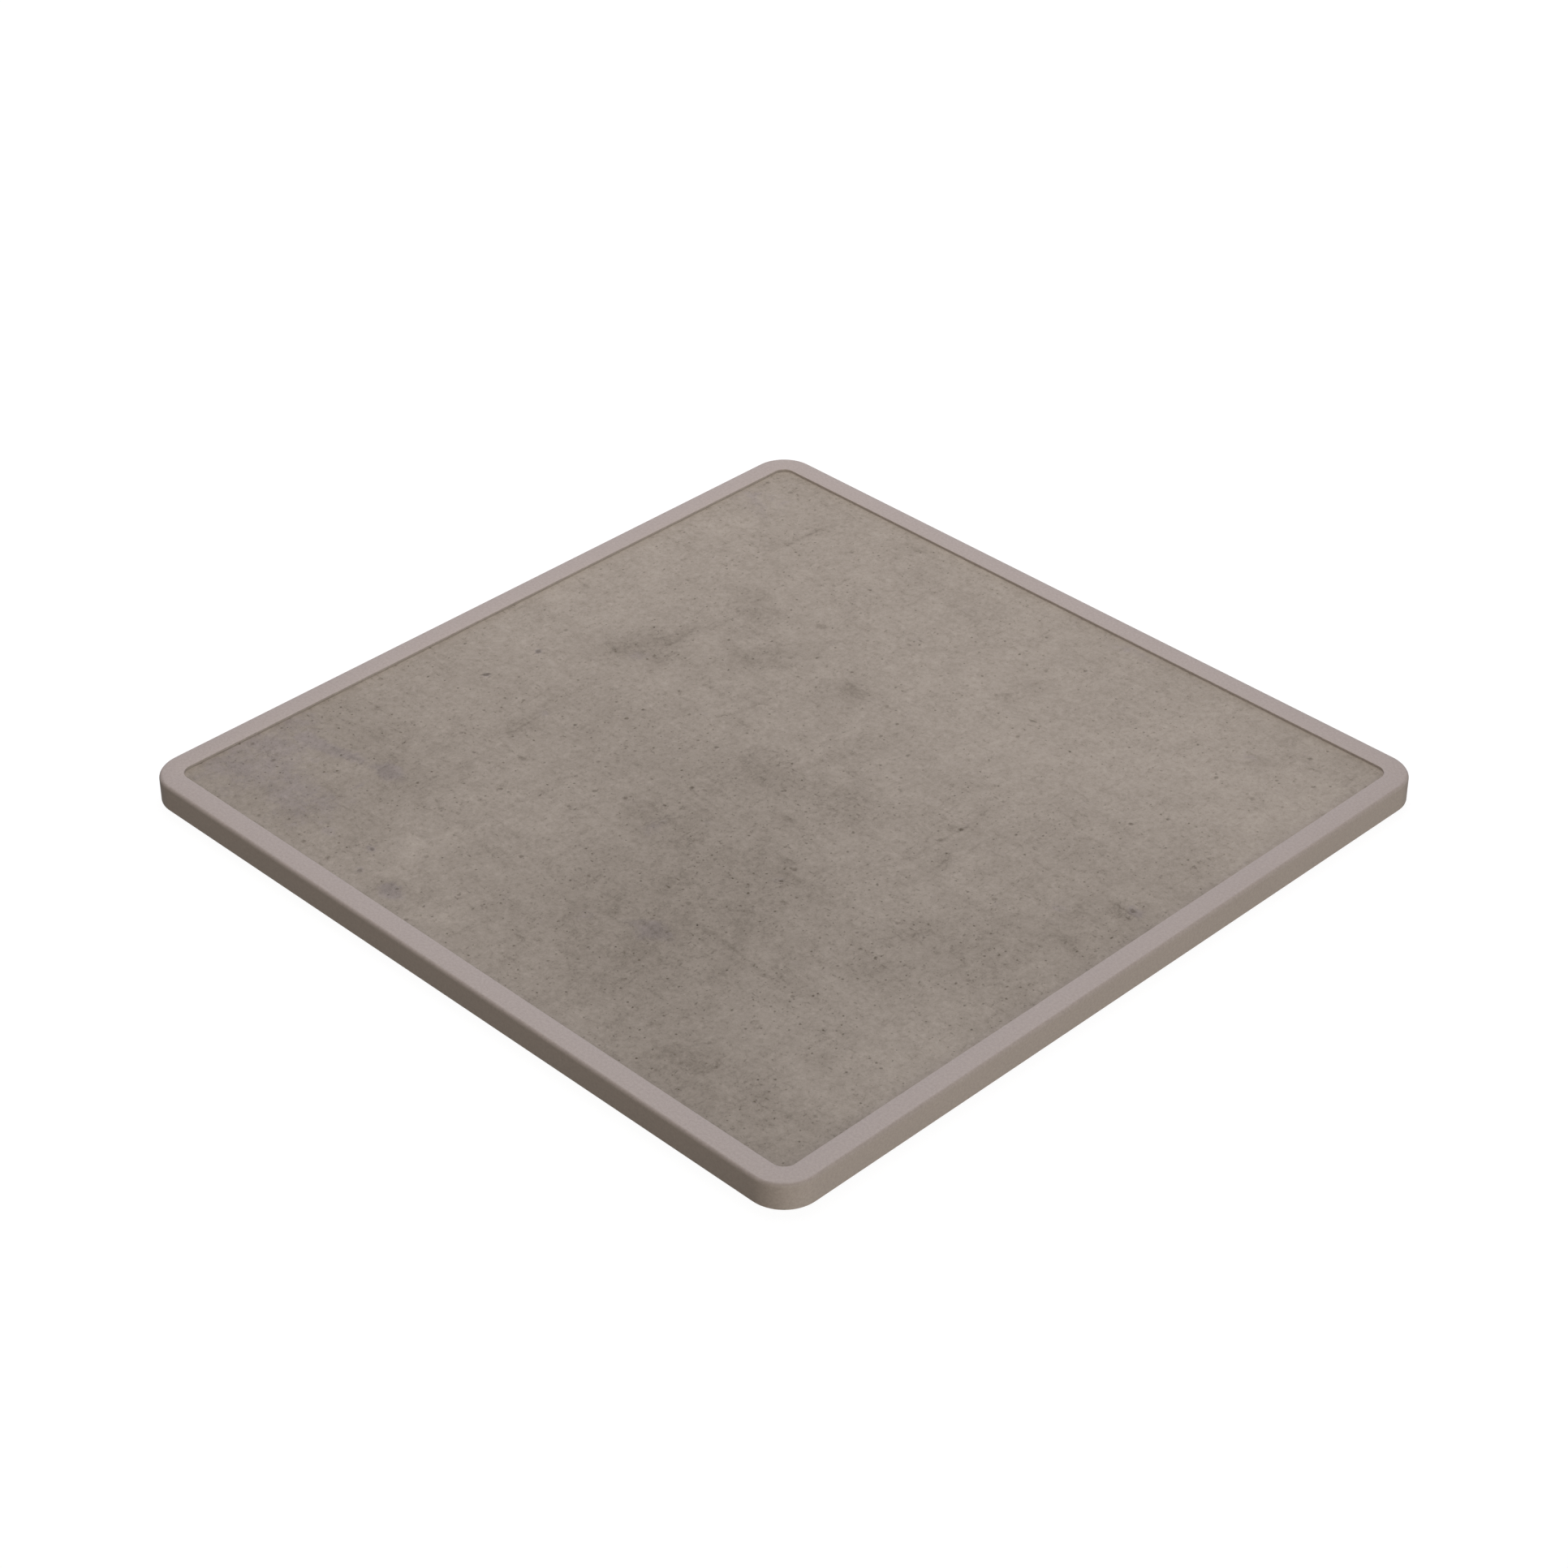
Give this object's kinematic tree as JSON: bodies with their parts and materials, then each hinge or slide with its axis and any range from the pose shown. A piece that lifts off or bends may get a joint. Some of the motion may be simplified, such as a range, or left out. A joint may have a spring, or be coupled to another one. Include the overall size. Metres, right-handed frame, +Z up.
{
  "type": "square table top",
  "caption": "Square cafe table top with rounded corners: a concrete-look laminate panel sunk in a taupe moulded rim with a raised lip, and threaded inserts underneath.",
  "frame": {"origin": "middle of the underside", "axes": "+Z up through the thickness, +X and +Y along the sides"},
  "size_m": [0.7, 0.7, 0.022],
  "materials": {
    "edge_rim": "taupe moulded polyurethane, fine satin",
    "decor_laminate": "high pressure laminate, matt, concrete-look decor",
    "core_board": "raw fibreboard",
    "backing_laminate": "plain balancing laminate, matt",
    "threaded_insert": "zinc plated"
  },
  "bodies": {
    "root": {"edge_rim": "edge_rim", "decor_laminate": "decor_laminate", "core_board": "core_board", "backing_laminate": "backing_laminate", "threaded_insert_1": "threaded_insert", "threaded_insert_2": "threaded_insert", "threaded_insert_3": "threaded_insert", "threaded_insert_4": "threaded_insert"}
  },
  "joints": []
}
